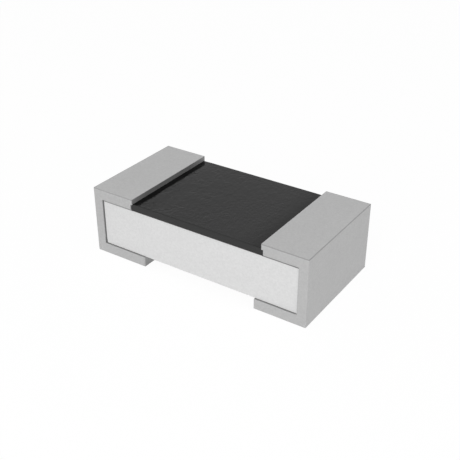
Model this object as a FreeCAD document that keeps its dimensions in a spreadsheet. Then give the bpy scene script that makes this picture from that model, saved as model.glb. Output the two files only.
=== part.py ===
import FreeCAD, Part

import math
import os

import Sketcher

# Thick-film chip resistor, case 1608, in millimetres.
# X runs along the length, -Y is the long front face, +Z is the coated top, and the
# origin is the middle of the whole part.
# An alumina plate carries a trimmed resistive film between two printed electrodes.
# The film is sealed by glass and a resin coat. Each end is wrapped by three nested
# metal layers, which climb against the coat's nose on top and end in a pad below.

doc = FreeCAD.newDocument("chip_resistor")

# Driving sizes

SIZES = {
    # alumina plate: steep snapped bevels above, eased edges below, broken corners in plan
    "substrate_length": 1.47,
    "substrate_width": 0.775,
    "substrate_thickness": 0.325,
    "snap_bevel_depth": 0.012,
    "snap_bevel_width": 0.0055,
    "eased_edge": 0.0015,
    "corner_break": 0.005,
    # printed silver electrodes, on both faces of the plate
    "print_thickness": 0.010,
    # resistive film, which laps onto both electrodes, and the glass over it
    "film_inset": 0.029,
    "film_overlap": 0.065,
    "film_side_inset": 0.0575,
    "film_thickness": 0.008,
    "film_ramp": 0.015,
    "glass_overlap_x": 0.010,
    "glass_overlap_y": 0.020,
    "glass_thickness": 0.006,
    # laser trim: a plunge from the front edge, then a turn along the length
    "trim_width": 0.040,
    "trim_depth": 0.005,
    "trim_start": 0.012,
    "trim_plunge": 0.300,
    "trim_run": 0.240,
    "trim_offset": 0.130,
    # resin coat, whose two noses are tucked under the tin and whose lip hangs over the plate
    "coat_tuck": 0.010,
    "coat_height": 0.042,
    "coat_lip": 0.006,
    "coat_overhang": 0.0065,
    "coat_round": 0.006,
    "coat_corner": 0.0075,
    # wrap-around metal: edge electrode, nickel barrier and tin plating
    "wrap_end": 0.035,
    "wrap_top": 0.034,
    "wrap_bottom": 0.031,
    "nickel_thickness": 0.012,
    "tin_thickness": 0.018,
    "tin_proud": 0.0125,
    "tin_round": 0.004,
    "tin_edge": 0.004,
    "top_length_left": 0.321,
    "top_length_right": 0.316,
    "pad_length_left": 0.400,
    "pad_length_right": 0.358,
}

sheet = doc.addObject("Spreadsheet::Sheet", "size")
for row, (alias, value) in enumerate(SIZES.items(), start=1):
    sheet.set(f"A{row}", alias.replace("_", " "))
    sheet.set(f"B{row}", str(value))
    sheet.setAlias(f"B{row}", alias)
doc.recompute()

# Stations worked out from the sizes, as expressions of the sheet

PLATING = "(size.nickel_thickness + size.tin_thickness)"
STACK_BELOW = f"(size.print_thickness + size.wrap_bottom + {PLATING})"
STACK_ABOVE = f"(size.print_thickness + size.wrap_top + {PLATING})"
HEIGHT = f"({STACK_BELOW} + size.substrate_thickness + {STACK_ABOVE})"

PLATE_BOTTOM = f"({STACK_BELOW} - {HEIGHT} / 2)"
PLATE_MIDDLE = f"({PLATE_BOTTOM} + size.substrate_thickness / 2)"
PLATE_TOP = f"({PLATE_BOTTOM} + size.substrate_thickness)"
PLATE_END = "(size.substrate_length / 2)"
PLATE_SIDE = "(size.substrate_width / 2)"

PRINT_TOP = f"({PLATE_TOP} + size.print_thickness)"
PRINT_BOTTOM = f"({PLATE_BOTTOM} - size.print_thickness)"
WRAP_TOP = f"({PRINT_TOP} + size.wrap_top)"
WRAP_BOTTOM = f"({PRINT_BOTTOM} - size.wrap_bottom)"
WRAP_END = f"({PLATE_END} + size.wrap_end)"
NICKEL_TOP = f"({WRAP_TOP} + size.nickel_thickness)"
NICKEL_BOTTOM = f"({WRAP_BOTTOM} - size.nickel_thickness)"
NICKEL_END = f"({WRAP_END} + size.nickel_thickness)"
TIN_TOP = f"({NICKEL_TOP} + size.tin_thickness)"
TIN_BOTTOM = f"({NICKEL_BOTTOM} - size.tin_thickness)"
TIN_END = f"({NICKEL_END} + size.tin_thickness)"

TIN_SIDE = f"({PLATE_SIDE} + size.tin_proud)"
NICKEL_SIDE = f"({TIN_SIDE} - size.tin_thickness)"
WRAP_SIDE = f"({NICKEL_SIDE} - size.nickel_thickness)"

COAT_TOP = f"({PLATE_TOP} + size.coat_height)"
COAT_BOTTOM = f"({PLATE_TOP} - size.coat_lip)"
COAT_SIDE = f"({PLATE_SIDE} + size.coat_overhang)"

FILM_SIDE = f"({PLATE_SIDE} - size.film_side_inset)"
GLASS_SIDE = f"({FILM_SIDE} + size.glass_overlap_y)"

SIDES = {"left": -1, "right": 1}
ALONG_Y = FreeCAD.Vector(0, 1, 0)
ALONG_Z = FreeCAD.Vector(0, 0, 1)
TINY = 1e-6


# Distances from the centre along X, which differ a little between the two sides


def tin_start(side_name):
    return f"({TIN_END} - size.top_length_{side_name})"


def coat_end(side_name):
    return f"({tin_start(side_name)} + size.coat_tuck)"


def film_end(side_name):
    return f"({coat_end(side_name)} - size.film_inset)"


def glass_end(side_name):
    return f"({film_end(side_name)} + size.glass_overlap_x)"


def electrode_start(side_name):
    return f"({film_end(side_name)} - size.film_overlap)"


def pad_start(side_name):
    return f"({TIN_END} - size.pad_length_{side_name})"


def millimetres(expression):
    """The present value of an expression of the size sheet."""
    return float(sheet.evalExpression(expression))


def both_halves(left, right):
    """A closed outline from its two halves, each given outwards and down from the top."""
    mirrored = [(f"-{across}", up) for across, up in reversed(left)]
    return mirrored + right


# Bodies, sketches and features


def new_body(name):
    return doc.addObject("PartDesign::Body", name)


def sketch_on(body, role):
    """A sketch on one of the body's own origin planes."""
    sketch = body.newObject("Sketcher::SketchObject", body.Name + "_outline")
    plane = [item for item in body.Origin.OriginFeatures if item.Role == role][0]
    sketch.AttachmentSupport = [(plane, "")]
    sketch.MapMode = "FlatFace"
    return sketch


def draw_outline(sketch, corners, round_sides=()):
    """Close an outline through corners given as pairs of expressions, in clockwise order.

    A side whose number is in round_sides bulges outwards as a half circle.
    """
    points = [FreeCAD.Vector(millimetres(across), millimetres(up), 0) for across, up in corners]
    count = len(points)
    for number, start in enumerate(points):
        end = points[(number + 1) % count]
        if number not in round_sides:
            sketch.addGeometry(Part.LineSegment(start, end), False)
            continue
        middle = (start + end) / 2
        circle = Part.Circle(middle, ALONG_Z, start.distanceToPoint(middle))
        first = math.atan2(end.y - middle.y, end.x - middle.x)
        sketch.addGeometry(Part.ArcOfCircle(circle, first, first + math.pi), False)

    # An arc runs anticlockwise, so its two ends are the other way round than a line's.
    def tail(number):
        return 2 if number in round_sides else 1

    def head(number):
        return 3 - tail(number)

    for number, (across, up) in enumerate(corners):
        following = (number + 1) % count
        sketch.addConstraint(
            Sketcher.Constraint("Coincident", number, head(number), following, tail(following))
        )
        bind(sketch, "DistanceX", f"across_{number}", (number, tail(number)), across)
        bind(sketch, "DistanceY", f"up_{number}", (number, tail(number)), up)
        if number in round_sides:
            level_chord = abs(points[number].y - points[following].y) < TINY
            kind, value = ("DistanceY", up) if level_chord else ("DistanceX", across)
            bind(sketch, kind, f"centre_{number}", (number, 3), value)


def bind(sketch, kind, name, place, expression):
    """Hold one point of a sketch at a distance from its origin."""
    constraint = Sketcher.Constraint(kind, -1, 1, *place, millimetres(expression))
    sketch.renameConstraint(sketch.addConstraint(constraint), name)
    sketch.setExpression(f"Constraints.{name}", expression)


def pad(body, sketch, length, symmetric=False):
    feature = body.newObject("PartDesign::Pad", body.Name + "_pad")
    feature.Profile = sketch
    feature.SideType = "Symmetric" if symmetric else "One side"
    feature.setExpression("Length", length)
    doc.recompute()
    return feature


def slab(name, corners, half_width):
    """A body whose X-Z outline is padded to both sides of the centre plane."""
    body = new_body(name)
    sketch = sketch_on(body, "XZ_Plane")
    draw_outline(sketch, corners)
    pad(body, sketch, f"2 * {half_width}", symmetric=True)
    return body


def fillet(body, name, radius, keep):
    """Round the edges of the body's tip that keep accepts."""
    base = body.Tip
    edges = [f"Edge{i}" for i, edge in enumerate(base.Shape.Edges, start=1) if keep(edge)]
    feature = body.newObject("PartDesign::Fillet", f"{body.Name}_{name}")
    feature.Base = (base, edges)
    feature.setExpression("Radius", radius)
    doc.recompute()
    return feature


def runs_along(edge, axis):
    return edge.tangentAt(edge.FirstParameter).isParallel(axis, TINY)


def middle_of(edge):
    return edge.valueAt((edge.FirstParameter + edge.LastParameter) / 2)


def laid_over(name, envelope, pieces):
    """The envelope of a layer, less everything that was there before it."""
    shape = envelope
    for number, piece in enumerate(pieces, start=1):
        cut = doc.addObject("Part::Cut", f"{name}_over_{number}")
        cut.Base = shape
        cut.Tool = piece
        cut.Refine = True
        shape = cut
    shape.Label = name
    doc.recompute()
    return shape


# Laser trim, one L-shaped slot that the plate, the film and the glass share


def make_trim():
    """The path of the laser: in from the front edge of the film, then along X."""
    half = "size.trim_width / 2"
    front = f"(-{FILM_SIDE} - size.trim_start)"
    turn = f"({front} + size.trim_start + size.trim_plunge)"
    left = "(-size.trim_offset)"
    body = new_body("trim_path")
    sketch = sketch_on(body, "XY_Plane")
    corners = [
        (f"{left} - {half}", front),
        (f"{left} - {half}", f"{turn} + {half}"),
        (f"{left} + size.trim_run", f"{turn} + {half}"),
        (f"{left} + size.trim_run", f"{turn} - {half}"),
        (f"{left} + {half}", f"{turn} - {half}"),
        (f"{left} + {half}", front),
    ]
    draw_outline(sketch, corners, round_sides=(2, 5))
    pad(body, sketch, "size.trim_depth + size.coat_height")
    body.setExpression("Placement.Base.z", f"{PLATE_TOP} - size.trim_depth")
    doc.recompute()
    return body


# Alumina plate


def bevelled_section(half_length):
    """Half outline of the plate across one direction: bevels above, eased edges below."""
    top_in = f"({half_length} - size.snap_bevel_width)"
    bottom_in = f"({half_length} - size.eased_edge)"
    bevel_foot = f"({PLATE_TOP} - size.snap_bevel_depth)"
    eased_top = f"({PLATE_BOTTOM} + size.eased_edge)"
    right = [
        (top_in, PLATE_TOP),
        (half_length, bevel_foot),
        (half_length, eased_top),
        (bottom_in, PLATE_BOTTOM),
    ]
    return both_halves(right, right)


def broken_plan():
    """Outline of the plate from above, with its four corners broken."""
    end_in = f"({PLATE_END} - size.corner_break)"
    side_in = f"({PLATE_SIDE} - size.corner_break)"
    back = [(end_in, PLATE_SIDE), (PLATE_END, side_in)]
    front = [(across, f"(-{along})") for across, along in reversed(back)]
    return both_halves([*back, *front], [*back, *front])


def make_substrate(trim):
    """The plate is what its two bevelled sections and its plan have in common."""
    along = slab("plate_along", bevelled_section(PLATE_END), PLATE_SIDE)
    across = new_body("plate_across")
    sketch = sketch_on(across, "YZ_Plane")
    draw_outline(sketch, bevelled_section(PLATE_SIDE))
    pad(across, sketch, f"2 * {PLATE_END}", symmetric=True)
    plan = new_body("plate_plan")
    sketch = sketch_on(plan, "XY_Plane")
    draw_outline(sketch, broken_plan())
    pad(plan, sketch, HEIGHT, symmetric=True)
    shape = along
    for number, other in enumerate((across, plan), start=1):
        common = doc.addObject("Part::Common", f"plate_common_{number}")
        common.Base = shape
        common.Tool = other
        shape = common
    doc.recompute()
    return laid_over("ceramic_substrate", shape, [trim])


# Printed layers


def make_electrode(name, side, inner, low, high, plate):
    """One printed electrode, which runs out over the edge of the plate's face."""
    outer = f"({side} * {PLATE_END})"
    inner = f"({side} * {inner})"
    corners = [(inner, low), (inner, high), (outer, high), (outer, low)]
    return laid_over(name, slab(name + "_print", corners, WRAP_SIDE), [plate])


def film_half(side_name, rise, end_corners):
    """Half outline of a layer that lies on the plate and ramps up onto the electrode."""
    edge = electrode_start(side_name)
    return [
        (f"({edge} - size.film_ramp)", f"{PLATE_TOP} + {rise}"),
        (edge, f"{PRINT_TOP} + {rise}"),
        (film_end(side_name), f"{PRINT_TOP} + {rise}"),
        *end_corners,
    ]


def make_film(plate, electrodes, trim):
    halves = [
        film_half(name, "size.film_thickness", [(film_end(name), PLATE_TOP)]) for name in SIDES
    ]
    envelope = slab("film_print", both_halves(*halves), FILM_SIDE)
    return laid_over("resistive_film", envelope, [plate, *electrodes, trim])


def make_glass(plate, electrodes, film, trim):
    """The glass covers the film and thins out past the film's ends."""
    rise = "(size.film_thickness + size.glass_thickness)"
    lip = f"{PRINT_TOP} + size.glass_thickness"
    halves = [
        film_half(name, rise, [(glass_end(name), lip), (glass_end(name), PLATE_TOP)])
        for name in SIDES
    ]
    envelope = slab("glass_print", both_halves(*halves), GLASS_SIDE)
    return laid_over("glass_overcoat", envelope, [plate, *electrodes, film, trim])


def coat_outline():
    halves = [[(coat_end(name), COAT_TOP), (coat_end(name), COAT_BOTTOM)] for name in SIDES]
    return both_halves(*halves)


def make_coat(pieces):
    """The resin coat fills the trim and hangs a little over the plate's long edges."""
    body = slab("coat_print", coat_outline(), COAT_SIDE)
    fillet(body, "corners", "size.coat_corner", lambda edge: runs_along(edge, ALONG_Z))
    top = millimetres(COAT_TOP)
    fillet(body, "brow", "size.coat_round", lambda edge: middle_of(edge).z > top - TINY)
    return laid_over("protective_coat", body, pieces)


def make_coat_reach():
    """The coat's long outline, drawn out past the terminals' sides: no plating enters it."""
    body = slab("coat_reach", coat_outline(), f"({TIN_SIDE} + size.tin_proud)")
    top = millimetres(COAT_TOP)

    def end_brow(edge):
        return runs_along(edge, ALONG_Y) and middle_of(edge).z > top - TINY

    fillet(body, "brow", "size.coat_round", end_brow)
    return body


# Wrap-around terminals


def make_terminal(side_name, side, plate, coat_reach, top_electrode, bottom_electrode):
    """The three metal layers of one end, each laid over the ones before it."""
    tin_top = tin_start(side_name)
    nickel_top = f"({tin_top} + size.tin_thickness)"
    wrap_top = f"({nickel_top} + size.nickel_thickness)"
    tin_pad = pad_start(side_name)
    nickel_pad = f"({tin_pad} + size.tin_thickness)"
    wrap_pad = f"({nickel_pad} + size.nickel_thickness)"

    def mirrored(corners):
        return [(f"{side} * {across}", up) for across, up in corners]

    printed = [plate, top_electrode, bottom_electrode]

    edge_corners = [
        (wrap_top, PLATE_MIDDLE),
        (wrap_top, WRAP_TOP),
        (WRAP_END, WRAP_TOP),
        (WRAP_END, WRAP_BOTTOM),
        (wrap_pad, WRAP_BOTTOM),
        (wrap_pad, PLATE_MIDDLE),
    ]
    body = slab(f"{side_name}_edge_dip", mirrored(edge_corners), WRAP_SIDE)
    edge = laid_over(f"{side_name}_edge_electrode", body, printed)

    foot_top = f"({PRINT_TOP} + size.nickel_thickness)"
    nickel_corners = [
        (tin_top, PLATE_MIDDLE),
        (tin_top, foot_top),
        (nickel_top, foot_top),
        (nickel_top, NICKEL_TOP),
        (NICKEL_END, NICKEL_TOP),
        (NICKEL_END, NICKEL_BOTTOM),
        (nickel_pad, NICKEL_BOTTOM),
        (nickel_pad, PLATE_MIDDLE),
    ]
    body = slab(f"{side_name}_nickel_bath", mirrored(nickel_corners), NICKEL_SIDE)
    nickel = laid_over(f"{side_name}_nickel_barrier", body, [*printed, coat_reach, edge])

    tin_corners = [
        (tin_top, PLATE_TOP),
        (tin_top, TIN_TOP),
        (TIN_END, TIN_TOP),
        (TIN_END, TIN_BOTTOM),
        (tin_pad, TIN_BOTTOM),
        (tin_pad, PLATE_BOTTOM),
        (PLATE_END, PLATE_BOTTOM),
        (PLATE_END, PLATE_TOP),
    ]
    body = slab(f"{side_name}_tin_bath", mirrored(tin_corners), TIN_SIDE)
    round_tin(body)
    tin = laid_over(f"{side_name}_tin_plating", body, [*printed, coat_reach, edge, nickel])
    return edge, nickel, tin


def round_tin(body):
    """Round the plated corners: across the part first, then around both side outlines."""
    high = millimetres(TIN_TOP)
    low = millimetres(TIN_BOTTOM)

    def outer_corner(edge):
        level = middle_of(edge).z
        return runs_along(edge, ALONG_Y) and (level > high - TINY or level < low + TINY)

    fillet(body, "corners", "size.tin_round", outer_corner)
    half = millimetres(TIN_SIDE)
    fillet(body, "sides", "size.tin_edge", lambda edge: abs(middle_of(edge).y) > half - TINY)


# Assembly, in the order in which the layers are laid down

trim = make_trim()
substrate = make_substrate(trim)

top_electrodes = {}
bottom_electrodes = {}
for side_name, side in SIDES.items():
    top_start = electrode_start(side_name)
    top_electrodes[side_name] = make_electrode(
        f"{side_name}_top_electrode", side, top_start, PLATE_MIDDLE, PRINT_TOP, substrate
    )
    bottom_start = f"({pad_start(side_name)} + {PLATING})"
    bottom_electrodes[side_name] = make_electrode(
        f"{side_name}_bottom_electrode", side, bottom_start, PRINT_BOTTOM, PLATE_MIDDLE, substrate
    )

film = make_film(substrate, top_electrodes.values(), trim)
glass = make_glass(substrate, top_electrodes.values(), film, trim)
coat = make_coat([substrate, *top_electrodes.values(), film, glass])

coat_reach = make_coat_reach()

subparts = [substrate, *top_electrodes.values(), *bottom_electrodes.values(), film, glass, coat]
for side_name, side in SIDES.items():
    top, bottom = top_electrodes[side_name], bottom_electrodes[side_name]
    layers = make_terminal(side_name, side, substrate, coat_reach, top, bottom)
    subparts.extend(layers)

doc.recompute()

# Checks and export

for item in doc.Objects:
    if "Invalid" in item.State or "Error" in item.State:
        raise RuntimeError(f"{item.Name} did not build")

os.makedirs("parts", exist_ok=True)
for item in subparts:
    shape = item.Shape
    if shape.isNull() or not shape.isValid() or not shape.Solids:
        raise RuntimeError(f"{item.Label} is not a sound solid")
    shape.exportStep(os.path.join("parts", f"{item.Label}.step"))
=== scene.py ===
import math

import bmesh
import bpy
from mathutils import Matrix, Vector, noise


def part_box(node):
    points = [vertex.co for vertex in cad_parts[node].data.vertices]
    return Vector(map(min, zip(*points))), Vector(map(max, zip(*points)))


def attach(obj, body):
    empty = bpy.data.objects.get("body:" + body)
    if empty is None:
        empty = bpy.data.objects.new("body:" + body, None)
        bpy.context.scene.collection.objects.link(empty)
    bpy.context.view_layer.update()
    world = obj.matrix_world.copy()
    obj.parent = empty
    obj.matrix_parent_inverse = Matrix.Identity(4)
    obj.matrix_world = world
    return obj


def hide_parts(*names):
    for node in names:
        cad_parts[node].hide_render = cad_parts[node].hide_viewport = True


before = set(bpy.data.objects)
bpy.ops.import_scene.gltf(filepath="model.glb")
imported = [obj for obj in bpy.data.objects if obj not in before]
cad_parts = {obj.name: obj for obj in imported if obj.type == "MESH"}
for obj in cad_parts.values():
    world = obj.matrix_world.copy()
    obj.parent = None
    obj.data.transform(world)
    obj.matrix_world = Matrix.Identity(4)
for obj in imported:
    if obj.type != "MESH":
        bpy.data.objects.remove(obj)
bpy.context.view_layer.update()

# Looks of a 1608 chip resistor. Lengths are in millimetres, and the last step of each piece
# scales its mesh to metres. X runs along the length, -Y is the front and +Z is the top.

MM = 0.001

# Lengths under TINY count as nothing, and points closer than SLIVER become one

TINY = 1e-4
SLIVER = 2e-4

# Camera, found from the straight edges of the photograph

CAMERA_AZIMUTH = math.radians(33.821)
CAMERA_ELEVATION = math.radians(30.063)
CAMERA_DISTANCE = 5.2161
CAMERA_TARGET = Vector((0.0057, -0.0051, -0.0157))
CAMERA_LENS = 62.472
SENSOR_WIDTH = 36.0
CLIP_NEAR = 0.1
CLIP_FAR = 100

# Light and floor. In levels and tones, 1 is white

ROOM_LIGHT = 0.50
KEY_RADIANCE = 1.90
KEY_PLACE = Vector((4.2, -12.0, 7.0))
KEY_SIZE = 11.3
FLOOR_RADIUS = 60
FLOOR_TONE = 0.86
FLOOR_GLOW = 1.043
FLOOR_GLOW_SHARE = 0.90

# Edges of the plate, as in the part

SNAP_BEVEL_DEPTH = 0.012
SNAP_BEVEL_WIDTH = 0.0055
EASED_EDGE = 0.0015
CORNER_BREAK = 0.005

# Edges of the coat and the tin, as in the part. The coat's noses are tucked under the arms

COAT_TUCK = 0.010
COAT_ROUND = 0.006
COAT_CORNER = 0.0075
TIN_ROUND = 0.004

# Small differences from the part, seen in the photograph: longer noses and lower notches

NOSE_MORE_LEFT = Vector((-0.0015, 0, 0))
NOSE_MORE_RIGHT = Vector((0.0045, 0, 0))
NOTCH_DROP = 0.0050
NOTCH_ROUND = 0.0030

# How much further down than its own solid a cutter reaches

GLASS_CUT_MORE = Vector((0, 0, 0.005))
ELECTRODE_CUT_MORE = 0.004

# Distance between the points of each mesh, before its last halving

PLATE_STEP = 0.030
COAT_STEP = 0.0125
TIN_STEP = 0.024

# Relief of the plate and the tin: its height and the distance between its bumps

PLATE_RELIEF = 0.0003
PLATE_WAVE = 0.030
TIN_RELIEF = 0.0003
TIN_WAVE = 0.045

# Noise: how fast its finer waves lose height, and how much finer each is than the last

NOISE_FADE = 1.0
NOISE_FINER = 2.0

# Relief of the coat: a slow swell, and creases in patches that thin out to the right

LOOKS_DOWN = -0.5
COAT_SINK = 0.0003
COAT_FALL = 0.0013
COAT_FALL_RUN = 0.044
SWELL_HEIGHT = 0.0002
SWELL_WAVE = 0.050
CREASE_DEPTH = 0.0005
CREASE_WAVE = 0.060
CREASE_WIDTH = 0.08
PATCH_WAVE = 0.13
PATCH_CONTRAST = 2.0
CREASES_AT_MIDDLE = 0.55
CREASES_PER_X = -1.3
CREASES_LEAST = 0.15


def box_mm(node):
    low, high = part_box(node)
    return low / MM, high / MM


PLATE_LOW, PLATE_HIGH = box_mm("ceramic_substrate")
COAT_LOW, COAT_HIGH = box_mm("protective_coat")
GLASS_LOW, GLASS_HIGH = box_mm("glass_overcoat")


# Solids


def solid_from_section(section, front, back):
    """Extrude a closed section, given as points in X and Z, along Y."""
    bm = bmesh.new()
    face = bm.faces.new([bm.verts.new((along, front, up)) for along, up in section])
    result = bmesh.ops.extrude_face_region(bm, geom=[face])
    moved = [item for item in result["geom"] if isinstance(item, bmesh.types.BMVert)]
    bmesh.ops.translate(bm, verts=moved, vec=Vector((0, back - front, 0)))
    bmesh.ops.recalc_face_normals(bm, faces=bm.faces[:])
    return bm


def block(low, high):
    section = [(low.x, low.z), (high.x, low.z), (high.x, high.z), (low.x, high.z)]
    return solid_from_section(section, low.y, high.y)


def round_edges(bm, radius, keep, segments):
    """Round the edges whose middle and direction keep accepts."""
    chosen = []
    for edge in bm.edges:
        start, end = (vert.co for vert in edge.verts)
        if keep((start + end) / 2, (end - start).normalized()):
            chosen.append(edge)
    bmesh.ops.bevel(
        bm, geom=chosen, offset=radius, offset_type="OFFSET", segments=segments,
        profile=0.5, affect="EDGES", clamp_overlap=True,
    )


def trimmed_box(low, high, cuts):
    """A box, less what lies beyond each cut, given as a point and a direction out."""
    bm = block(low, high)
    for point, out in cuts:
        everything = bm.verts[:] + bm.edges[:] + bm.faces[:]
        result = bmesh.ops.bisect_plane(
            bm, geom=everything, dist=TINY / 100, plane_co=point, plane_no=out, clear_outer=True
        )
        rim = [item for item in result["geom_cut"] if isinstance(item, bmesh.types.BMEdge)]
        bmesh.ops.contextual_create(bm, geom=rim)
    bmesh.ops.recalc_face_normals(bm, faces=bm.faces[:])
    return bm


def plate_solid():
    """The plate, with steep bevels above, eased edges below and broken corners."""
    cuts = []
    for axis in (0, 1):
        for way in (-1, 1):
            bevel_out = Vector((0, 0, SNAP_BEVEL_WIDTH))
            bevel_out[axis] = way * SNAP_BEVEL_DEPTH
            bevel_foot = PLATE_HIGH * way
            bevel_foot.z = PLATE_HIGH.z - SNAP_BEVEL_DEPTH
            cuts.append((bevel_foot, bevel_out))
            eased_out = Vector((0, 0, -1))
            eased_out[axis] = way
            eased_start = PLATE_HIGH * way
            eased_start.z = PLATE_LOW.z + EASED_EDGE
            cuts.append((eased_start, eased_out))
    for way_x in (-1, 1):
        for way_y in (-1, 1):
            corner = Vector((way_x * PLATE_HIGH.x, way_y * (PLATE_HIGH.y - CORNER_BREAK), 0))
            cuts.append((corner, Vector((way_x, way_y, 0))))
    return trimmed_box(PLATE_LOW, PLATE_HIGH, cuts)


def coat_solid():
    """The coat as a full block, with rounded corners and a soft brow round its top."""
    bm = block(COAT_LOW + NOSE_MORE_LEFT, COAT_HIGH + NOSE_MORE_RIGHT)

    def is_corner(middle, direction):
        return abs(direction.z) > 1 - TINY

    def is_brow(middle, direction):
        return middle.z > COAT_HIGH.z - TINY

    round_edges(bm, COAT_CORNER, is_corner, segments=5)
    round_edges(bm, COAT_ROUND, is_brow, segments=4)
    return bm


def notch_solid():
    """The coat's long outline drawn out sideways, which cuts the notches in the arms."""
    reach = 2 * PLATE_HIGH.y
    low = COAT_LOW + NOSE_MORE_LEFT
    high = COAT_HIGH + NOSE_MORE_RIGHT
    top = COAT_HIGH.z - NOTCH_DROP
    bm = block(Vector((low.x, -reach, low.z)), Vector((high.x, reach, top)))

    def is_end_brow(middle, direction):
        return abs(direction.y) > 1 - TINY and middle.z > top - TINY

    round_edges(bm, NOTCH_ROUND, is_end_brow, segments=6)
    return bm


def arm_start(sign):
    """How far from the part's middle the arm on this side starts, over the coat's nose."""
    coat_end = abs(COAT_LOW.x if sign < 0 else COAT_HIGH.x)
    return coat_end - COAT_TUCK


def reach_along(low, high):
    """How far a box on one side lies from the part's middle: its near and its far end."""
    return sorted((abs(low.x), abs(high.x)))


def tin_solid(side, sign):
    """The tin as a bent C. The edges that the photograph shows crisp aren't rounded."""
    low, high = box_mm(side + "_tin_plating")
    pad_start, end = reach_along(low, high)
    start = arm_start(sign)
    section = [
        (start, PLATE_HIGH.z),
        (start, high.z),
        (end, high.z),
        (end, low.z),
        (pad_start, low.z),
        (pad_start, PLATE_LOW.z),
        (PLATE_HIGH.x, PLATE_LOW.z),
        (PLATE_HIGH.x, PLATE_HIGH.z),
    ]
    bm = solid_from_section([(sign * along, up) for along, up in section], low.y, high.y)

    def is_outer(middle, direction):
        on_side = abs(middle.y) > high.y - TINY
        foot_face = abs(abs(middle.x) - pad_start) < TINY
        at_end = abs(middle.x) > end - TINY
        crisp_top = sign < 0 and middle.z > high.z - TINY
        across_end = abs(direction.y) > 1 - TINY and at_end and not crisp_top
        return (on_side and not foot_face) or across_end

    round_edges(bm, TIN_ROUND, is_outer, segments=3)
    return bm


def seat_solid(side, sign):
    """What the tin sits on: the nickel's outer form, filled in as far as the plate's middle."""
    tin_end = reach_along(*box_mm(side + "_tin_plating"))[1]
    low, high = box_mm(side + "_nickel_barrier")
    pad_start, end = reach_along(low, high)
    tin_thickness = tin_end - end
    nickel_thickness = high.z - box_mm(side + "_edge_electrode")[1].z
    step_top = box_mm(side + "_top_electrode")[1].z + nickel_thickness
    start = arm_start(sign)
    middle = (PLATE_LOW.z + PLATE_HIGH.z) / 2
    section = [
        (start - tin_thickness, middle),
        (start - tin_thickness, step_top),
        (start + tin_thickness, step_top),
        (start + tin_thickness, high.z),
        (end, high.z),
        (end, low.z),
        (pad_start, low.z),
        (pad_start, middle),
    ]
    return solid_from_section([(sign * along, up) for along, up in section], low.y, high.y)


# Work on a piece's mesh


def object_from(bm, name):
    mesh = bpy.data.meshes.new(name)
    bm.to_mesh(mesh)
    bm.free()
    piece = bpy.data.objects.new(name, mesh)
    bpy.context.scene.collection.objects.link(piece)
    return piece


def apply_modifiers(piece):
    """Put what the piece's modifiers make into its mesh."""
    graph = bpy.context.evaluated_depsgraph_get()
    made = bpy.data.meshes.new_from_object(piece.evaluated_get(graph))
    old = piece.data
    piece.modifiers.clear()
    piece.data = made
    bpy.data.meshes.remove(old)


def carve(piece, cutters):
    """Take the cutters out of the piece, so that it sits over what is under it."""
    for cutter in cutters:
        cut = piece.modifiers.new("seat", "BOOLEAN")
        cut.operation = "DIFFERENCE"
        cut.solver = "EXACT"
        cut.object = cutter
    apply_modifiers(piece)
    for cutter in cutters:
        bpy.data.objects.remove(cutter)


def dice(piece, step):
    """Divide all faces on a regular grid, so that the relief has points to move."""
    bm = bmesh.new()
    bm.from_mesh(piece.data)
    bmesh.ops.remove_doubles(bm, verts=bm.verts[:], dist=TINY)
    for axis in range(3):
        values = [vert.co[axis] for vert in bm.verts]
        low, high = min(values), max(values)
        count = max(1, round((high - low) / step))
        normal = Vector((0, 0, 0))
        normal[axis] = 1
        for number in range(1, count):
            point = normal * (low + (high - low) * number / count)
            everything = bm.verts[:] + bm.edges[:] + bm.faces[:]
            bmesh.ops.bisect_plane(
                bm, geom=everything, dist=TINY / 10, plane_co=point, plane_no=normal
            )
    bmesh.ops.remove_doubles(bm, verts=bm.verts[:], dist=SLIVER)
    many_sided = [face for face in bm.faces if len(face.verts) > 4]
    bmesh.ops.triangulate(bm, faces=many_sided)
    bm.to_mesh(piece.data)
    bm.free()
    finer = piece.modifiers.new("finer", "SUBSURF")
    finer.subdivision_type = "SIMPLE"
    finer.levels = 1
    apply_modifiers(piece)


def add_relief(piece, height):
    """Move each point along its normal by height(place, normal), in millimetres."""
    mesh = piece.data
    moved = [
        vert.co + vert.normal * height(vert.co, vert.normal) for vert in mesh.vertices
    ]
    for vert, place in zip(mesh.vertices, moved):
        vert.co = place


def to_metres(piece, sharp_from):
    """Scale the mesh to metres, and shade it smooth up to an angle in degrees."""
    mesh = piece.data
    mesh.transform(Matrix.Scale(MM, 4))
    mesh.polygons.foreach_set("use_smooth", [True] * len(mesh.polygons))
    mesh.set_sharp_from_angle(angle=math.radians(sharp_from))
    mesh.update()


def waves(place, wavelength, seed, octaves):
    """Smooth noise of about unit height whose bumps are a wavelength apart."""
    start = place / wavelength + Vector((seed, seed, seed))
    return noise.fractal(start, NOISE_FADE, NOISE_FINER, octaves)


def sunken(height, wave):
    """Relief that stays below the surface, so that the piece keeps its size."""
    return min(0.0, height * wave - height)


def clamp(value, low, high):
    return min(high, max(low, value))


# Visible pieces


def make_plate():
    """The alumina plate, with the fine unevenness of fired and snapped ceramic."""
    piece = object_from(plate_solid(), "alumina_plate")
    dice(piece, PLATE_STEP)

    def height(place, normal):
        return sunken(PLATE_RELIEF, waves(place, PLATE_WAVE, seed=11.0, octaves=4))

    add_relief(piece, height)
    to_metres(piece, sharp_from=30)
    return piece


def coat_cutters():
    """What lies under the coat: the plate, the glass and both top electrodes."""
    cutters = [
        object_from(plate_solid(), "under_plate"),
        object_from(block(GLASS_LOW - GLASS_CUT_MORE, GLASS_HIGH), "under_glass"),
    ]
    for side in ("left", "right"):
        low, high = box_mm(side + "_top_electrode")
        low.z = PLATE_HIGH.z - ELECTRODE_CUT_MORE
        cutters.append(object_from(block(low, high), "under_" + side))
    return cutters


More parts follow.
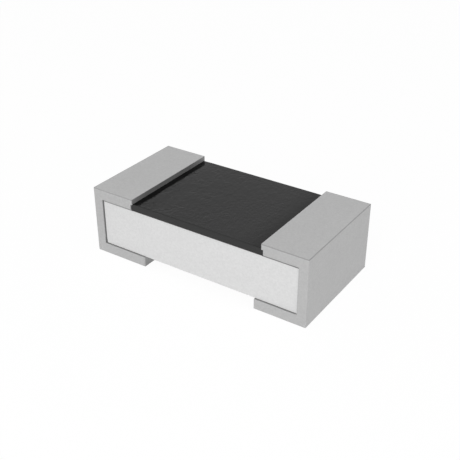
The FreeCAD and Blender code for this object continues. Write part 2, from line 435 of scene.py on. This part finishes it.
def crease_depth(place):
    """Thin wandering creases, gathered in patches and deeper to the left."""
    share = clamp(CREASES_AT_MIDDLE + CREASES_PER_X * place.x, CREASES_LEAST, 1.0)
    patch = clamp(0.5 + PATCH_CONTRAST * waves(place, PATCH_WAVE, seed=21.0, octaves=1), 0.0, 1.0)
    away = abs(waves(place, CREASE_WAVE, seed=9.0, octaves=2)) / CREASE_WIDTH
    return CREASE_DEPTH * patch * share * math.exp(-away * away)


def arm_fall(place, normal):
    """How far the coat's top falls towards the arm that is nearest."""
    to_arm = min(place.x - COAT_LOW.x, COAT_HIGH.x - place.x) - COAT_TUCK
    nearness = math.exp(-((max(to_arm, 0) / COAT_FALL_RUN) ** 2))
    return COAT_FALL * nearness * max(0.0, normal.z)


def make_coat():
    """The resin coat, which falls a little towards the arms and is finely wrinkled."""
    piece = object_from(coat_solid(), "resin_coat")
    carve(piece, coat_cutters())
    dice(piece, COAT_STEP)

    def height(place, normal):
        inside = abs(place.y) < COAT_HIGH.y - TINY and place.z < GLASS_HIGH.z + TINY
        if inside or normal.z < LOOKS_DOWN:
            return 0.0
        swell = SWELL_HEIGHT * waves(place, SWELL_WAVE, seed=3.0, octaves=2)
        wrinkle = min(0.0, swell - crease_depth(place) - COAT_SINK)
        return wrinkle - arm_fall(place, normal)

    add_relief(piece, height)
    to_metres(piece, sharp_from=40)
    return piece


def make_tin(side, sign):
    """One tin shell, over the nickel and against the coat, uneven along its outer edges."""
    low, high = box_mm(side + "_tin_plating")
    end = reach_along(low, high)[1]
    piece = object_from(tin_solid(side, sign), side + "_tin_shell")
    cutters = [
        object_from(seat_solid(side, sign), "under_nickel"),
        object_from(notch_solid(), "under_coat"),
    ]
    carve(piece, cutters)
    dice(piece, TIN_STEP)

    def height(place, normal):
        from_side = max(high.y - abs(place.y), 0)
        from_end = end - abs(place.x)
        from_outside = min(high.z - place.z, place.z - low.z, from_end, from_side)
        if from_outside > TIN_ROUND or place.z < low.z + TIN_ROUND:
            return 0.0
        return sunken(TIN_RELIEF, waves(place, TIN_WAVE, seed=7.0 + sign, octaves=3))

    add_relief(piece, height)
    to_metres(piece, sharp_from=40)
    return piece


# Materials, all procedural and laid out in the object's own millimetres

CLOUDS_LOW = 0.3
CLOUDS_HIGH = 0.7


class Recipe:
    """A material under construction, with short calls for the nodes that it needs."""

    def __init__(self, name):
        self.material = bpy.data.materials.new(name)
        self.material.use_nodes = True
        self.tree = self.material.node_tree
        self.shader = self.tree.nodes["Principled BSDF"]
        coordinates = self.tree.nodes.new("ShaderNodeTexCoord")
        self.normal = coordinates.outputs["Normal"]
        scale = self.node("ShaderNodeVectorMath", operation="SCALE")
        self.link(coordinates.outputs["Object"], scale.inputs[0])
        scale.inputs["Scale"].default_value = 1 / MM
        self.place = scale.outputs[0]
        axes = self.axes_of(self.place)
        self.x = axes["X"]
        self.y = axes["Y"]
        self.z = axes["Z"]

    def node(self, kind, **settings):
        made = self.tree.nodes.new(kind)
        for name, value in settings.items():
            setattr(made, name, value)
        return made

    def link(self, source, target):
        self.tree.links.new(source, target)

    def axes_of(self, vector):
        made = self.node("ShaderNodeSeparateXYZ")
        self.link(vector, made.inputs[0])
        return made.outputs

    def math(self, operation, *values):
        made = self.node("ShaderNodeMath", operation=operation)
        for socket, value in zip(made.inputs, values):
            if isinstance(value, (int, float)):
                socket.default_value = value
            else:
                self.link(value, socket)
        return made.outputs[0]

    def plus(self, first, second):
        return self.math("ADD", first, second)

    def minus(self, first, second):
        return self.math("SUBTRACT", first, second)

    def times(self, first, second):
        return self.math("MULTIPLY", first, second)

    def larger(self, first, second):
        return self.math("MAXIMUM", first, second)

    def size(self, value):
        return self.math("ABSOLUTE", value)

    def remap(self, value, low, high, new_low, new_high):
        """Carry low to new_low and high to new_high, and keep to those two outside."""
        made = self.node("ShaderNodeMapRange")
        self.link(value, made.inputs["Value"])
        for name, number in zip(
            ("From Min", "From Max", "To Min", "To Max"), (low, high, new_low, new_high)
        ):
            made.inputs[name].default_value = number
        return made.outputs[0]

    def rise(self, value, start, full):
        """0 up to the start and 1 from full on, in whichever order the two lie."""
        return self.remap(value, start, full, 0.0, 1.0)

    def noise(self, wavelength, detail, stretch=None):
        """Noise from 0 to 1 whose bumps are a wavelength apart, in millimetres."""
        source = self.place
        if stretch:
            mapping = self.node("ShaderNodeMapping")
            mapping.inputs["Scale"].default_value = stretch
            self.link(self.place, mapping.inputs["Vector"])
            source = mapping.outputs[0]
        made = self.node("ShaderNodeTexNoise")
        self.link(source, made.inputs["Vector"])
        made.inputs["Scale"].default_value = 1 / wavelength
        made.inputs["Detail"].default_value = detail
        return made.outputs["Fac"]

    def clouds(self, wavelength, detail, low=0.0, high=1.0):
        """Noise whose middle range is spread out to run from low to high."""
        plain = self.noise(wavelength, detail)
        return self.remap(plain, CLOUDS_LOW, CLOUDS_HIGH, low, high)

    def cells(self, wavelength):
        """Rounded cells, 0 at the middle of each."""
        made = self.node("ShaderNodeTexVoronoi")
        self.link(self.place, made.inputs["Vector"])
        made.inputs["Scale"].default_value = 1 / wavelength
        return made.outputs["Distance"]

    def creases(self, wavelength, wander, width):
        """A net of thin wandering lines, 1 on a line and 0 away from it."""
        drift = self.node("ShaderNodeTexNoise")
        self.link(self.place, drift.inputs["Vector"])
        drift.inputs["Scale"].default_value = 1 / wander
        pulled = self.node("ShaderNodeVectorMath", operation="MULTIPLY_ADD")
        self.link(drift.outputs["Color"], pulled.inputs[0])
        pulled.inputs[1].default_value = (wander, wander, wander)
        self.link(self.place, pulled.inputs[2])
        made = self.node("ShaderNodeTexVoronoi", feature="DISTANCE_TO_EDGE")
        self.link(pulled.outputs[0], made.inputs["Vector"])
        made.inputs["Scale"].default_value = 1 / wavelength
        return self.remap(made.outputs["Distance"], 0.0, width, 1.0, 0.0)

    def blend(self, factor, first, second):
        """Mix two colours, each given as three numbers or as a socket."""
        made = self.node("ShaderNodeMix", data_type="RGBA")
        self.link(factor, made.inputs["Factor"])
        for name, value in (("A", first), ("B", second)):
            socket = [s for s in made.inputs if s.name == name and s.type == "RGBA"][0]
            if isinstance(value, tuple):
                socket.default_value = (*value, 1)
            else:
                self.link(value, socket)
        return [s for s in made.outputs if s.type == "RGBA"][0]

    def colour(self, socket):
        self.link(socket, self.shader.inputs["Base Color"])

    def roughness(self, socket):
        self.link(socket, self.shader.inputs["Roughness"])

    def bump(self, value, depth):
        """Fine relief, depth in millimetres."""
        made = self.node("ShaderNodeBump")
        self.link(value, made.inputs["Height"])
        made.inputs["Distance"].default_value = depth * MM
        self.link(made.outputs[0], self.shader.inputs["Normal"])

    def set(self, **constants):
        for name, value in constants.items():
            self.shader.inputs[name.replace("_", " ")].default_value = value


def grey(level):
    return (level, level, level)


# Tin: its tone, with painted light to the right and painted shade to the back, and its grain

TIN_TONE = 0.540
TIN_METALLIC = 0.45
TIN_MOTTLE_LOW = TIN_TONE + 0.005
TIN_MOTTLE_HIGH = TIN_TONE + 0.025
TIN_MOTTLE_WAVE = 0.16
TIN_GRAIN_TONE = TIN_TONE - 0.06
TIN_GRAIN_SHARE = 0.7
TIN_GRAIN_WAVE = 0.012
TIN_RIGHT_PAINTED_LIGHT = TIN_TONE + 0.05
TIN_RIGHT_PAINTED_LIGHT_SHARE = 0.15
TIN_BACK_PAINTED_SHADE = TIN_TONE - 0.04
TIN_BACK_PAINTED_SHADE_SHARE = 0.25
TIN_BUMP = 0.0010
TIN_ROUGH_LOW = 0.46
TIN_ROUGH_HIGH = 0.56
TIN_ROUGH_WAVE = 0.03

# Tin: the line of painted shade along its top edges, full up to one distance and gone at the
# other

PAINTED_EDGE_SHADE_TONE = 0.24
PAINTED_EDGE_SHADE_FULL = 0.0025
PAINTED_EDGE_SHADE_GONE = 0.0060
PAINTED_EDGE_SHADE_LEFT = 0.48
PAINTED_EDGE_SHADE_RIGHT = 0.68

# Tin: shade on its inner walls, less towards both ends of the arms' walls

SHADE_TONE = 0.02
WALL_SHADE = 0.38
ARM_WALL_SHADE = 0.66
ARM_WALL_START = 0.002
ARM_WALL_EVEN_SHARE = 0.55
LESS_SHADE_BACK = 0.34
LESS_SHADE_FRONT = 0.20

# Tin: shade on the ledges under the plate, less outwards and beside the columns

LEDGE_SHADE = 0.66
LEDGE_SHADE_OUTSIDE = 0.30
LEDGE_FADE_START = 0.014
LEDGE_FADE_END = 0.004
LEDGE_LEAST_SHARE = 0.25

# How squarely a face has to look one way before shade for that way starts, and is full

FACING_START = 0.6
FACING_FULL = 0.9


def tin_body(recipe, end, side):
    """The plain tin, mottled and grained, with painted light to the right and painted shade to
    the back.
    """
    mottle = recipe.clouds(TIN_MOTTLE_WAVE, detail=4)
    body = recipe.blend(mottle, grey(TIN_MOTTLE_LOW), grey(TIN_MOTTLE_HIGH))
    grain = recipe.clouds(TIN_GRAIN_WAVE, detail=2)
    body = recipe.blend(recipe.times(grain, TIN_GRAIN_SHARE), body, grey(TIN_GRAIN_TONE))
    # Painted light and shade: the tin is made lighter to the right and darker to the back
    to_right = recipe.remap(recipe.x, -end, end, 0.0, TIN_RIGHT_PAINTED_LIGHT_SHARE)
    body = recipe.blend(to_right, body, grey(TIN_RIGHT_PAINTED_LIGHT))
    painted_shade_to_back = recipe.remap(recipe.y, -side, side, 0.0, TIN_BACK_PAINTED_SHADE_SHARE)
    return recipe.blend(painted_shade_to_back, body, grey(TIN_BACK_PAINTED_SHADE))


def distance_to_edge(recipe, first, first_edge, second, second_edge):
    """How far a point is from an edge, given two of its coordinates and the edge's own."""
    one = recipe.minus(first, first_edge)
    two = recipe.minus(second, second_edge)
    return recipe.math("SQRT", recipe.plus(recipe.times(one, one), recipe.times(two, two)))


def tin_painted_edge_shade(recipe, end, side, top):
    """A thin line of painted shade along the outer top edges, stronger to the right."""
    to_side = distance_to_edge(recipe, recipe.size(recipe.y), side, recipe.z, top)
    to_end = distance_to_edge(recipe, recipe.size(recipe.x), end, recipe.z, top)
    nearest = recipe.math("MINIMUM", to_side, to_end)
    line = recipe.remap(nearest, PAINTED_EDGE_SHADE_FULL, PAINTED_EDGE_SHADE_GONE, 1.0, 0.0)
    strength = recipe.remap(recipe.x, -PLATE_HIGH.x, PLATE_HIGH.x, PAINTED_EDGE_SHADE_LEFT, PAINTED_EDGE_SHADE_RIGHT)
    return recipe.times(line, strength)


def tin_wall_shade(recipe, on_arm, side):
    """Shade for the walls that look inwards: at the arms, and where the tin stands proud."""
    even = ARM_WALL_EVEN_SHARE * side
    near_back = recipe.remap(recipe.y, even, side, 0.0, LESS_SHADE_BACK)
    near_front = recipe.remap(recipe.y, -even, -side, 0.0, LESS_SHADE_FRONT)
    arm_shade = recipe.minus(ARM_WALL_SHADE, recipe.plus(near_back, near_front))
    proud = recipe.remap(recipe.size(recipe.y), PLATE_HIGH.y, side, WALL_SHADE, 0.0)
    return recipe.larger(proud, recipe.times(on_arm, arm_shade))


def tin_ledge_shade(recipe, facing_up, side):
    """Shade for the ledges that look up at the plate, which keeps the light from them."""
    looks_up = recipe.rise(facing_up, FACING_START, FACING_FULL)
    on_ledge = recipe.times(looks_up, recipe.math("LESS_THAN", recipe.z, 0.0))
    across = recipe.size(recipe.y)
    outwards = recipe.remap(across, PLATE_HIGH.y, side, LEDGE_SHADE, LEDGE_SHADE_OUTSIDE)
    fade_start = PLATE_HIGH.x - LEDGE_FADE_START
    fade_end = PLATE_HIGH.x - LEDGE_FADE_END
    along = recipe.size(recipe.x)
    by_column = recipe.remap(along, fade_start, fade_end, 1.0, LEDGE_LEAST_SHARE)
    return recipe.times(on_ledge, recipe.times(outwards, by_column))


def tin_material(end, side, top):
    """Matte tin, with painted light and shade across it, a line of painted shade along its top
    edges and painted shade in its inner corners.
    """
    recipe = Recipe("matte_tin_plating")
    facing = recipe.axes_of(recipe.normal)
    way_in = recipe.times(recipe.times(facing["X"], recipe.math("SIGN", recipe.x)), -1.0)
    wall = recipe.rise(way_in, FACING_START, FACING_FULL)
    on_arm = recipe.rise(recipe.z, PLATE_HIGH.z, PLATE_HIGH.z + ARM_WALL_START)

    body = tin_body(recipe, end, side)
    # Painted shade: a thin dark line along the outer top edges
    body = recipe.blend(tin_painted_edge_shade(recipe, end, side, top), body, grey(PAINTED_EDGE_SHADE_TONE))
    wall_shade = recipe.times(wall, tin_wall_shade(recipe, on_arm, side))
    body = recipe.blend(wall_shade, body, grey(SHADE_TONE))
    body = recipe.blend(tin_ledge_shade(recipe, facing["Z"], side), body, grey(SHADE_TONE))
    recipe.colour(body)

    rough = recipe.clouds(TIN_ROUGH_WAVE, detail=3, low=TIN_ROUGH_LOW, high=TIN_ROUGH_HIGH)
    recipe.roughness(rough)
    recipe.bump(recipe.cells(TIN_GRAIN_WAVE), TIN_BUMP)
    bare = recipe.minus(1.0, recipe.times(wall, on_arm))
    recipe.link(recipe.times(bare, TIN_METALLIC), recipe.shader.inputs["Metallic"])
    return recipe.material


# Coat: its gloss, and a tone with painted light and shade that evens the gloss out, painted light
# on its turned faces, and faint clouds and specks

COAT_IOR = 1.235
COAT_ROUGH_LOW = 0.02
COAT_ROUGH_HIGH = 0.04
COAT_ROUGH_WAVE = 0.04
COAT_TONE = 0.0089
COAT_PAINTED_LIGHT_PER_X = 0.0206
COAT_PAINTED_LIGHT_PER_Y = -0.0170
COAT_LEAST_TONE = 0.0006
COAT_ARM_SHADE = 0.016
COAT_ARM_SHADE_START = 0.30
COAT_ARM_SHADE_FULL = 0.48
COAT_CLOUD = 0.0005
COAT_CLOUD_WAVE = 0.20
COAT_SPECK = 0.0035
COAT_SPECK_WAVE = 0.014
COAT_SPECK_STRETCH = (1.8, 1, 1.8)
COAT_SPECK_RANGE = (0.38, 0.62)
# Painted light: a lighter grey on the faces that turn away from the top, such as the front brow
COAT_PAINTED_SIDE_LIGHT = 0.043
COAT_SIDE_LIGHT_START = 0.98
COAT_SIDE_LIGHT_FULL = 0.80

# Coat: fine ripples and creases, as bump. Both are calmer close to the arms

COAT_BUMP = 0.0017
RIPPLE_WAVE = 0.026
RIPPLE_STRETCH = (1.6, 1, 1.6)
NET_WAVE = 0.075
NET_WANDER = 0.030
NET_LINE = 0.06
NET_SHARE = 0.35
NET_PATCH_WAVE = 0.16
NET_PATCH_RANGE = (0.42, 0.58)
NET_FULL_AT = -0.45
NET_LEAST_AT = 0.40
NET_LEAST = 0.15
COAT_CALM_START = 0.090
COAT_CALM_FULL = 0.050
COAT_CALM_SHARE = 0.35


def coat_tone(recipe):
    """The coat's grey: painted light and shade, lighter to the right, darker to the back and
    darker by the arms, with faint clouds and specks.
    """
    # Painted light and shade: lighter to the right, darker to the back and darker by the arms, to
    # even out the gloss
    across = recipe.times(recipe.y, COAT_PAINTED_LIGHT_PER_Y)
    tone = recipe.math("MULTIPLY_ADD", recipe.x, COAT_PAINTED_LIGHT_PER_X, across)
    tone = recipe.plus(tone, COAT_TONE)
    arm_shade = recipe.remap(
        recipe.size(recipe.x), COAT_ARM_SHADE_START, COAT_ARM_SHADE_FULL, 0.0, COAT_ARM_SHADE
    )
    tone = recipe.minus(tone, arm_shade)
    cloud = recipe.clouds(COAT_CLOUD_WAVE, detail=4, low=-COAT_CLOUD, high=COAT_CLOUD)
    specks = recipe.noise(COAT_SPECK_WAVE, detail=2, stretch=COAT_SPECK_STRETCH)
    speck = recipe.remap(specks, *COAT_SPECK_RANGE, -COAT_SPECK, COAT_SPECK)
    return recipe.larger(recipe.plus(tone, recipe.plus(cloud, speck)), COAT_LEAST_TONE)


def coat_relief(recipe):
    """Fine ripples, less a net of creases that comes in patches and thins to the right."""
    net = recipe.creases(NET_WAVE, NET_WANDER, NET_LINE)
    patch = recipe.rise(recipe.noise(NET_PATCH_WAVE, detail=1), *NET_PATCH_RANGE)
    to_right = recipe.remap(recipe.x, NET_FULL_AT, NET_LEAST_AT, 1.0, NET_LEAST)
    crease = recipe.times(recipe.times(net, patch), to_right)
    ripple = recipe.noise(RIPPLE_WAVE, detail=3, stretch=RIPPLE_STRETCH)
    relief = recipe.minus(ripple, recipe.times(crease, NET_SHARE))
    calm_start = COAT_HIGH.x - COAT_CALM_START
    calm_full = COAT_HIGH.x - COAT_CALM_FULL
    calm = recipe.remap(recipe.size(recipe.x), calm_start, calm_full, 1.0, COAT_CALM_SHARE)
    return recipe.times(relief, calm)


def coat_material():
    """Black resin: nearly black inside, with a gloss that carries its grey, and painted light on
    the faces that turn away from the top.
    """
    recipe = Recipe("black_resin")
    facing = recipe.axes_of(recipe.normal)
    # Painted light: faces that turn away from the top get a lighter grey
    painted_side_light = recipe.rise(facing["Z"], COAT_SIDE_LIGHT_START, COAT_SIDE_LIGHT_FULL)
    recipe.colour(recipe.blend(painted_side_light, coat_tone(recipe), grey(COAT_PAINTED_SIDE_LIGHT)))
    rough = recipe.clouds(COAT_ROUGH_WAVE, detail=3, low=COAT_ROUGH_LOW, high=COAT_ROUGH_HIGH)
    recipe.roughness(rough)
    recipe.bump(coat_relief(recipe), COAT_BUMP)
    recipe.set(IOR=COAT_IOR)
    return recipe.material


# Alumina: its tone, grain and faint gloss

ALUMINA_TONE = 0.893
ALUMINA_MOTTLE_HIGH = ALUMINA_TONE + 0.02
ALUMINA_MOTTLE_WAVE = 0.22
ALUMINA_GRAIN_TONE = ALUMINA_TONE - 0.07
ALUMINA_GRAIN_SHARE = 0.8
ALUMINA_GRAIN_WAVE = 0.014
ALUMINA_BUMP = 0.0012
ALUMINA_BUMP_WAVE = 0.010
ALUMINA_ROUGH_LOW = 0.55
ALUMINA_ROUGH_HIGH = 0.72
ALUMINA_IOR = 1.6
ALUMINA_GLOSS = 0.3

# Alumina: painted shade along the metal. Its widths are measured from the plate's ends

SEAM_PAINTED_SHADE_TONE = 0.10
SEAM_SHADE_LEFT = 0.70
SEAM_SHADE_RIGHT = 0.88
SEAM_TOP = 0.1480
SEAM_TOP_BLUR = 0.001
SEAM_LEFT_EDGE = 0.0080
SEAM_LEFT_FULL = 0.0060
SEAM_RIGHT_EDGE = 0.0050
SEAM_RIGHT_FULL = 0.0030

# Alumina: the lower left corner of the painted shade, which is wider, measured from the plate's
# corner

SEAM_CORNER_EDGE = 0.011
SEAM_CORNER_FULL = 0.009
SEAM_CORNER_TOP = 0.026
SEAM_CORNER_TOP_FULL = 0.022


def alumina_seam_shade(recipe):
    """Where the painted shade lies: under the arms, beside both columns and in the lower left
    corner.
    """
    under_arm = recipe.math("GREATER_THAN", recipe.size(recipe.x), COAT_HIGH.x - COAT_TUCK)
    high_up = recipe.rise(recipe.z, SEAM_TOP - SEAM_TOP_BLUR, SEAM_TOP + SEAM_TOP_BLUR)
    left = PLATE_LOW.x
    at_left = recipe.rise(recipe.x, left + SEAM_LEFT_EDGE, left + SEAM_LEFT_FULL)
    right = PLATE_HIGH.x
    at_right = recipe.rise(recipe.x, right - SEAM_RIGHT_EDGE, right - SEAM_RIGHT_FULL)
    seam_shade = recipe.larger(recipe.larger(at_left, at_right), recipe.times(under_arm, high_up))
    near_end = recipe.rise(recipe.x, left + SEAM_CORNER_EDGE, left + SEAM_CORNER_FULL)
    foot = PLATE_LOW.z
    near_foot = recipe.rise(recipe.z, foot + SEAM_CORNER_TOP, foot + SEAM_CORNER_TOP_FULL)
    return recipe.larger(seam_shade, recipe.times(near_end, near_foot))


def alumina_material():
    """White fired alumina: matte and finely grained, with painted shade along the metal."""
    recipe = Recipe("white_alumina")
    mottle = recipe.clouds(ALUMINA_MOTTLE_WAVE, detail=4)
    body = recipe.blend(mottle, grey(ALUMINA_TONE), grey(ALUMINA_MOTTLE_HIGH))
    grain = recipe.clouds(ALUMINA_GRAIN_WAVE, detail=3)
    body = recipe.blend(recipe.times(grain, ALUMINA_GRAIN_SHARE), body, grey(ALUMINA_GRAIN_TONE))
    depth = recipe.remap(
        recipe.x, -PLATE_HIGH.x, PLATE_HIGH.x, SEAM_SHADE_LEFT, SEAM_SHADE_RIGHT
    )
    # Painted shade: the plate is darkened along the metal, where the tin's overhang and the
    # crevices shade it
    seam_shade = recipe.times(alumina_seam_shade(recipe), depth)
    recipe.colour(recipe.blend(seam_shade, body, grey(SEAM_PAINTED_SHADE_TONE)))
    recipe.roughness(recipe.remap(grain, 0.0, 1.0, ALUMINA_ROUGH_LOW, ALUMINA_ROUGH_HIGH))
    recipe.bump(recipe.noise(ALUMINA_BUMP_WAVE, detail=4), ALUMINA_BUMP)
    recipe.set(IOR=ALUMINA_IOR, Specular_IOR_Level=ALUMINA_GLOSS)
    return recipe.material


# Hidden layers

ROUGHNESS_SPREAD = 0.06


def layer_material(name, dark, light, grain_size, rough, metallic, depth):
    """One hidden fired or plated layer: two tones of grain over a soft relief."""
    recipe = Recipe(name)
    grain = recipe.clouds(grain_size, detail=4)
    recipe.colour(recipe.blend(grain, dark, light))
    smoother = rough - ROUGHNESS_SPREAD
    rougher = rough + ROUGHNESS_SPREAD
    recipe.roughness(recipe.remap(grain, 0.0, 1.0, smoother, rougher))
    recipe.bump(recipe.noise(grain_size / 2, detail=3), depth)
    recipe.set(Metallic=metallic)
    return recipe.material


def give(piece, material):
    piece.data.materials.clear()
    piece.data.materials.append(material)


# Stage, light and camera


def by_ray(tree):
    """1 for a ray from the camera, from gloss or through glass, and 0 for the rest."""
    path = tree.nodes.new("ShaderNodeLightPath")
    total = path.outputs["Is Camera Ray"]
    for name in ("Is Glossy Ray", "Is Transmission Ray"):
        add = tree.nodes.new("ShaderNodeMath")
        add.operation = "ADD"
        add.use_clamp = True
        tree.links.new(total, add.inputs[0])
        tree.links.new(path.outputs[name], add.inputs[1])
        total = add.outputs[0]
    return total


def floor_material():
    """White paper that keeps a soft shadow, and looks nearly white to the camera."""
    material = bpy.data.materials.new("white_floor")
    material.use_nodes = True
    tree = material.node_tree
    tree.nodes.clear()
    output = tree.nodes.new("ShaderNodeOutputMaterial")
    paper = tree.nodes.new("ShaderNodeBsdfDiffuse")
    paper.inputs["Color"].default_value = (*grey(FLOOR_TONE), 1)
    glow = tree.nodes.new("ShaderNodeEmission")
    glow.inputs["Strength"].default_value = FLOOR_GLOW
    share = tree.nodes.new("ShaderNodeMath")
    share.operation = "MULTIPLY"
    share.inputs[1].default_value = FLOOR_GLOW_SHARE
    tree.links.new(by_ray(tree), share.inputs[0])
    mix = tree.nodes.new("ShaderNodeMixShader")
    tree.links.new(share.outputs[0], mix.inputs["Fac"])
    tree.links.new(paper.outputs[0], mix.inputs[1])
    tree.links.new(glow.outputs[0], mix.inputs[2])
    tree.links.new(mix.outputs[0], output.inputs["Surface"])
    return material


def make_floor(radius, level):
    """A plain round floor at the level that the part stands on."""
    bm = bmesh.new()
    bmesh.ops.create_circle(bm, cap_ends=True, segments=96, radius=radius * MM)
    bmesh.ops.translate(bm, verts=bm.verts[:], vec=Vector((0, 0, level * MM)))
    floor = object_from(bm, "floor")
    give(floor, floor_material())


def make_world():
    """A white room: seen as white, and a plain soft light on the part."""
    world = bpy.data.worlds.new("white_room")
    bpy.context.scene.world = world
    world.use_nodes = True
    tree = world.node_tree
    background = tree.nodes["Background"]
    background.inputs["Color"].default_value = (1, 1, 1, 1)
    level = tree.nodes.new("ShaderNodeMapRange")
    level.inputs["To Min"].default_value = ROOM_LIGHT
    level.inputs["To Max"].default_value = 1.0
    tree.links.new(by_ray(tree), level.inputs["Value"])
    tree.links.new(level.outputs[0], background.inputs["Strength"])


def make_lamp(name, place, size, radiance):
    """A soft square lamp that faces the part."""
    data = bpy.data.lights.new(name, "AREA")
    data.size = size * MM
    data.energy = radiance * math.pi * (size * MM) ** 2
    lamp = bpy.data.objects.new(name, data)
    lamp.location = place * MM
    lamp.rotation_mode = "QUATERNION"
    lamp.rotation_quaternion = (-place).to_track_quat("-Z", "Y")
    bpy.context.scene.collection.objects.link(lamp)


def make_camera():
    data = bpy.data.cameras.new("camera")
    data.lens = CAMERA_LENS
    data.sensor_width = SENSOR_WIDTH
    data.clip_start = CLIP_NEAR * MM
    data.clip_end = CLIP_FAR * MM
    camera = bpy.data.objects.new("camera", data)
    level = math.cos(CAMERA_ELEVATION)
    back = Vector((
        math.sin(CAMERA_AZIMUTH) * level,
        -math.cos(CAMERA_AZIMUTH) * level,
        math.sin(CAMERA_ELEVATION),
    ))
    camera.location = (CAMERA_TARGET + back * CAMERA_DISTANCE) * MM
    camera.rotation_mode = "QUATERNION"
    camera.rotation_quaternion = (-back).to_track_quat("-Z", "Y")
    bpy.context.scene.collection.objects.link(camera)
    bpy.context.scene.camera = camera


# Assembly

tin_high = box_mm("right_tin_plating")[1]
tin = tin_material(tin_high.x, tin_high.y, tin_high.z)

for side, sign in (("left", -1), ("right", 1)):
    shell = make_tin(side, sign)
    give(shell, tin)
    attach(shell, "root")
    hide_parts(side + "_tin_plating")

coat = make_coat()
give(coat, coat_material())
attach(coat, "root")
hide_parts("protective_coat")

plate = make_plate()
give(plate, alumina_material())
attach(plate, "root")
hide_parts("ceramic_substrate")

silver = layer_material(
    "fired_silver", dark=(0.62, 0.60, 0.56), light=(0.74, 0.72, 0.68),
    grain_size=0.020, rough=0.42, metallic=1.0, depth=0.0010,
)
resistive = layer_material(
    "fired_metal_oxide", dark=(0.010, 0.010, 0.012), light=(0.028, 0.028, 0.030),
    grain_size=0.016, rough=0.48, metallic=0.0, depth=0.0010,
)
glaze = layer_material(
    "fired_glaze", dark=(0.10, 0.20, 0.13), light=(0.16, 0.28, 0.19),
    grain_size=0.060, rough=0.16, metallic=0.0, depth=0.0004,
)
edge_alloy = layer_material(
    "edge_alloy", dark=(0.40, 0.39, 0.37), light=(0.52, 0.51, 0.48),
    grain_size=0.018, rough=0.50, metallic=1.0, depth=0.0010,
)
nickel = layer_material(
    "plated_nickel", dark=(0.50, 0.48, 0.44), light=(0.58, 0.56, 0.52),
    grain_size=0.014, rough=0.34, metallic=1.0, depth=0.0006,
)
hidden = {
    "top_electrode": silver,
    "bottom_electrode": silver,
    "edge_electrode": edge_alloy,
    "nickel_barrier": nickel,
}
for side in ("left", "right"):
    for node, material in hidden.items():
        give(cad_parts[f"{side}_{node}"], material)
give(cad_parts["resistive_film"], resistive)
give(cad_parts["glass_overcoat"], glaze)

make_floor(FLOOR_RADIUS, -tin_high.z)
make_world()
make_lamp("key_lamp", KEY_PLACE, KEY_SIZE, KEY_RADIANCE)
make_camera()
bpy.context.scene.view_settings.view_transform = "Standard"
